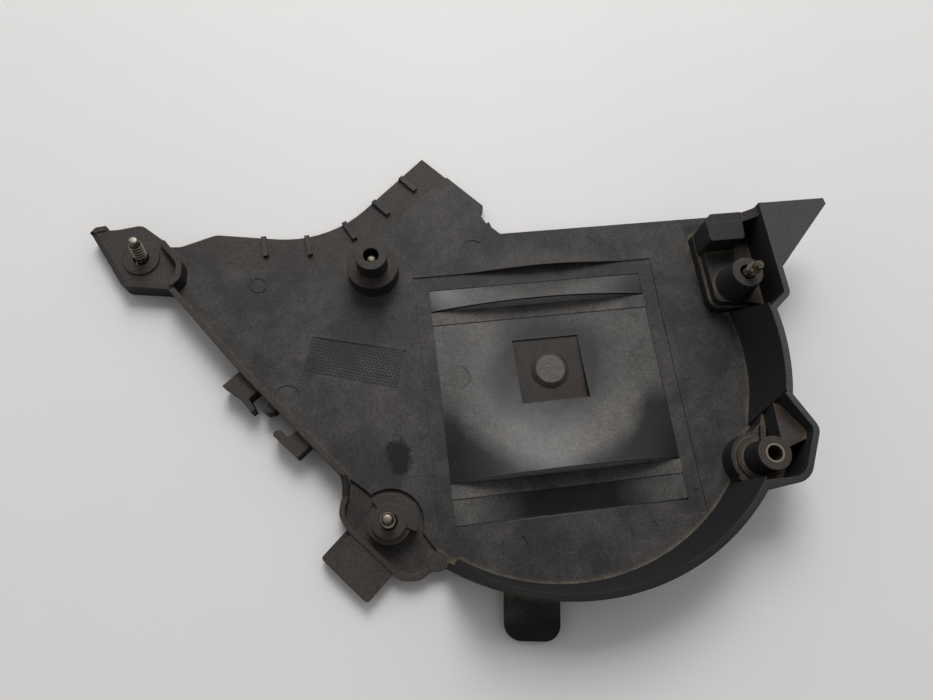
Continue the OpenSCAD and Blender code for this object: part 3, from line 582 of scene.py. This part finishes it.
def thread_ridge(steel, low, high):
    """The ridge of the thread, a small triangle drawn along a screw line. Its attribute "root" is 0 on the
    crest and 1 at the root."""
    deselect()
    root, crest = steel.core_d / 2 - steel.lap / 2, steel.thread_d / 2
    bpy.ops.mesh.primitive_circle_add(vertices=3, radius=1)
    ridge = bpy.context.object
    corners = [(crest, 0.5 * steel.pitch), (root, 0.02 * steel.pitch), (root, 0.98 * steel.pitch)]
    for vertex, (x, z) in zip(ridge.data.vertices, corners):
        vertex.co = (x, 0, low + z)
    screw = ridge.modifiers.new("thread", "SCREW")
    screw.axis = "Z"
    screw.angle = math.radians(360)
    screw.screw_offset = steel.pitch
    screw.iterations = max(1, int((high - low) / steel.pitch) - 1)
    screw.steps = screw.render_steps = steel.steps
    bpy.ops.object.modifier_apply(modifier=screw.name)
    bpy.ops.object.mode_set(mode="EDIT")
    bpy.ops.mesh.select_all(action="SELECT")
    bpy.ops.mesh.normals_make_consistent(inside=False)
    bpy.ops.object.mode_set(mode="OBJECT")
    depth = ridge.data.attributes.new("root", "FLOAT", "POINT")
    for vertex, value in zip(ridge.data.vertices, depth.data):
        value.value = (crest - math.hypot(vertex.co.x, vertex.co.y)) / (crest - root)
    return ridge


def threaded_bolt(steel, name, bolt_length, waist, outer):
    """A hexagon flange bolt on the Z axis, the underside of its head at the origin. Its shank is greasy, and
    outer is the material of its thread and tip."""
    zinc, grease = bpy.data.materials["zinc_plated_steel"], bpy.data.materials["greasy_steel"]
    lap, core = steel.lap, steel.core_d / 2
    head = steel.head_af / 2 / math.cos(math.radians(30))
    parts = [
        (turned(head, -steel.head_h, -steel.flange_t / 2, 0.5 * MM, sides=6), zinc),
        (turned(steel.flange_d / 2, -steel.flange_t, 0, 0.35 * MM), zinc),
        (turned(steel.waist_d / 2, -lap, waist + lap, 0.1 * MM), grease),
        (turned(core, waist, bolt_length - 2 * lap, 0.2 * MM), grease),
        (turned(core - 0.3 * MM, bolt_length - 2 * steel.tip_l, bolt_length, 0.5 * MM), outer),
        (thread_ridge(steel, waist, bolt_length - 0.4 * steel.tip_l), outer),
    ]
    deselect()
    for part, material in parts:
        dress(part, material)
        part.select_set(True)
    bpy.context.view_layer.objects.active = parts[0][0]
    bpy.ops.object.join()
    bolt = bpy.context.object
    bolt.name = name
    bpy.ops.object.shade_smooth_by_angle(angle=math.radians(SMOOTH_STEEL))
    return bolt


def stand(piece, foot, axis):
    """Puts an upright piece with its origin at foot and its axis along axis, in its own mesh."""
    turn = Vector((0, 0, 1)).rotation_difference(Vector(axis)).to_matrix().to_4x4()
    piece.matrix_world = Matrix.Translation(foot) @ turn
    deselect()
    piece.select_set(True)
    bpy.context.view_layer.objects.active = piece
    bpy.ops.object.transform_apply(location=True, rotation=True, scale=True)


class COVER_OT_bolts(bpy.types.Operator):
    """Model the captive bolts with their threads in place of the plain ones"""

    bl_idname = "timing_cover.bolts"
    bl_label = "Bolts"

    def execute(self, context):
        steel = context.scene.cover_steel
        zinc, grease = steel_material(steel), grease_material(steel)
        places = {}
        for mount in frame["record"]["mounts"]:
            if mount["kind"] == "pin":
                axis = Vector(mount["axis"])
                free = mount["dims"]["length_mm"] * MM
                waist = steel.bolt_l - steel.tip_l - free
                foot = Vector(mount["pos_m"]) - axis * (waist + free / 2)
                places["bolt_" + mount["name"].replace("_thread", "")] = (steel.bolt_l, waist, foot, axis)
        low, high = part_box("bolt_centre")
        middle = (low + high) / 2
        foot = Vector((middle.x, middle.y, low.z + steel.head_h))
        places["bolt_centre"] = (steel.short_l, steel.short_waist, foot, Vector((0, 0, 1)))
        for node, (bolt_length, waist, foot, axis) in places.items():
            outer = grease if node == "bolt_upper_right" else zinc
            bolt = threaded_bolt(steel, "threaded_" + node, bolt_length, waist, outer)
            stand(bolt, foot, axis)
            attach(bolt, "root")
            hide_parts(node)
        return {"FINISHED"}


class COVER_OT_bush(bpy.types.Operator):
    """Finish the steel bush in the lower right post"""

    bl_idname = "timing_cover.bush"
    bl_label = "Bush"

    def execute(self, context):
        dress(frame["nodes"]["bush_lower_right"], bpy.data.materials["zinc_plated_steel"])
        return {"FINISHED"}


def table_material(stage):
    """Matt white laminate: even, with faint scuffs."""
    material, tree, shader, place = new_material("white_laminate")
    scuff = add_node(tree, NOISE, Vector=place, Scale=1 / stage.scuff, Detail=5, Roughness=0.6)
    darker = [c * 0.96 for c in stage.table[:3]] + [1]
    shade = add_node(tree, MIX, COLOUR, Factor=scuff, A=stage.table, B=darker)
    wire(tree, shader, Base_Color=shade, Roughness=0.6)
    return material


def key_lamp(stage):
    """A large square lamp beyond the cover, which looks at the middle of it."""
    deselect()
    bpy.ops.object.light_add(type="AREA", location=stage.key_place)
    light = bpy.context.object
    light.name = "key_lamp"
    light.data.shape = "SQUARE"
    light.data.size = stage.key_size
    light.data.energy = stage.key_power
    light.rotation_euler = (-Vector(stage.key_place)).to_track_quat("-Z", "Y").to_euler()


def soft_room(stage):
    """A pale room that is lighter on its far side than behind the camera and overhead."""
    world = bpy.data.worlds.new("room")
    world.use_nodes = True
    room = world.node_tree
    sky = add_node(room, "ShaderNodeTexCoord").outputs["Generated"]
    ray = add_node(room, SPLIT, Vector=sky)
    sides = add_node(
        room, REMAP, Value=ray.outputs["Y"], From_Min=-0.6, From_Max=0.5, To_Min=stage.near, To_Max=stage.walls)
    roof = add_node(
        room, REMAP, Value=ray.outputs["Z"], From_Min=0.5, From_Max=0.95, To_Min=1, To_Max=stage.ceiling)
    # Whoever stands over the cover to take its picture keeps the light from there out of its slits
    over = add_node(
        room, VECTOR_MATH, {"operation": "DOT_PRODUCT"}, _0=sky, _1=Vector(stage.eye).normalized())
    open_sky = add_node(
        room, REMAP, Value=over.outputs["Value"], From_Min=math.cos(stage.shade_edge),
        From_Max=math.cos(stage.shade_edge / 2), To_Min=1, To_Max=stage.shade)
    glow = product(room, sides, (roof, open_sky))
    wire(room, room.nodes["Background"], Color=stage.room, Strength=glow)
    return world


class COVER_OT_stage(bpy.types.Operator):
    """Set the pale table, the soft light and the camera"""

    bl_idname = "timing_cover.stage"
    bl_label = "Stage"

    def execute(self, context):
        stage = context.scene.cover_stage
        deselect()
        bpy.ops.mesh.primitive_plane_add(size=TABLE_SIDE, location=(0, 0, CAD_BOX[0][2] - TABLE_GAP))
        table = context.object
        table.name = "table"
        dress(table, table_material(stage))
        key_lamp(stage)
        context.scene.world = soft_room(stage)
        context.scene.view_settings.view_transform = "Standard"
        bpy.ops.object.camera_add(location=stage.eye, rotation=stage.turn)
        camera = context.object
        camera.data.lens = stage.lens
        camera.data.sensor_width = 36
        camera.data.clip_start = 0.01
        context.scene.camera = camera
        return {"FINISHED"}


class COVER_PT_panel(bpy.types.Panel):
    """Lists the cover's pieces and their settings"""

    bl_idname = "COVER_PT_panel"
    bl_label = "Timing cover"
    bl_space_type = "VIEW_3D"
    bl_region_type = "UI"
    bl_category = "Timing cover"

    def draw(self, context):
        for settings, operators in (
            (context.scene.cover_nylon, ("moulding",)),
            (context.scene.cover_steel, ("bolts", "bush")),
            (context.scene.cover_stage, ("stage",)),
        ):
            box = self.layout.box()
            for key in settings.__annotations__:
                box.prop(settings, key)
            for name in operators:
                box.operator("timing_cover." + name)


CLASSES = (
    NylonSettings,
    SteelSettings,
    StageSettings,
    COVER_OT_stage,
    COVER_OT_moulding,
    COVER_OT_bolts,
    COVER_OT_bush,
    COVER_PT_panel,
)


def register():
    for cls in CLASSES:
        bpy.utils.register_class(cls)
    bpy.types.Scene.cover_nylon = PointerProperty(type=NylonSettings)
    bpy.types.Scene.cover_steel = PointerProperty(type=SteelSettings)
    bpy.types.Scene.cover_stage = PointerProperty(type=StageSettings)


def unregister():
    del bpy.types.Scene.cover_stage
    del bpy.types.Scene.cover_steel
    del bpy.types.Scene.cover_nylon
    for cls in reversed(CLASSES):
        bpy.utils.unregister_class(cls)


def main():
    register()
    bpy.ops.timing_cover.stage()
    bpy.ops.timing_cover.moulding()
    bpy.ops.timing_cover.bolts()
    bpy.ops.timing_cover.bush()


if __name__ == "__main__":
    main()
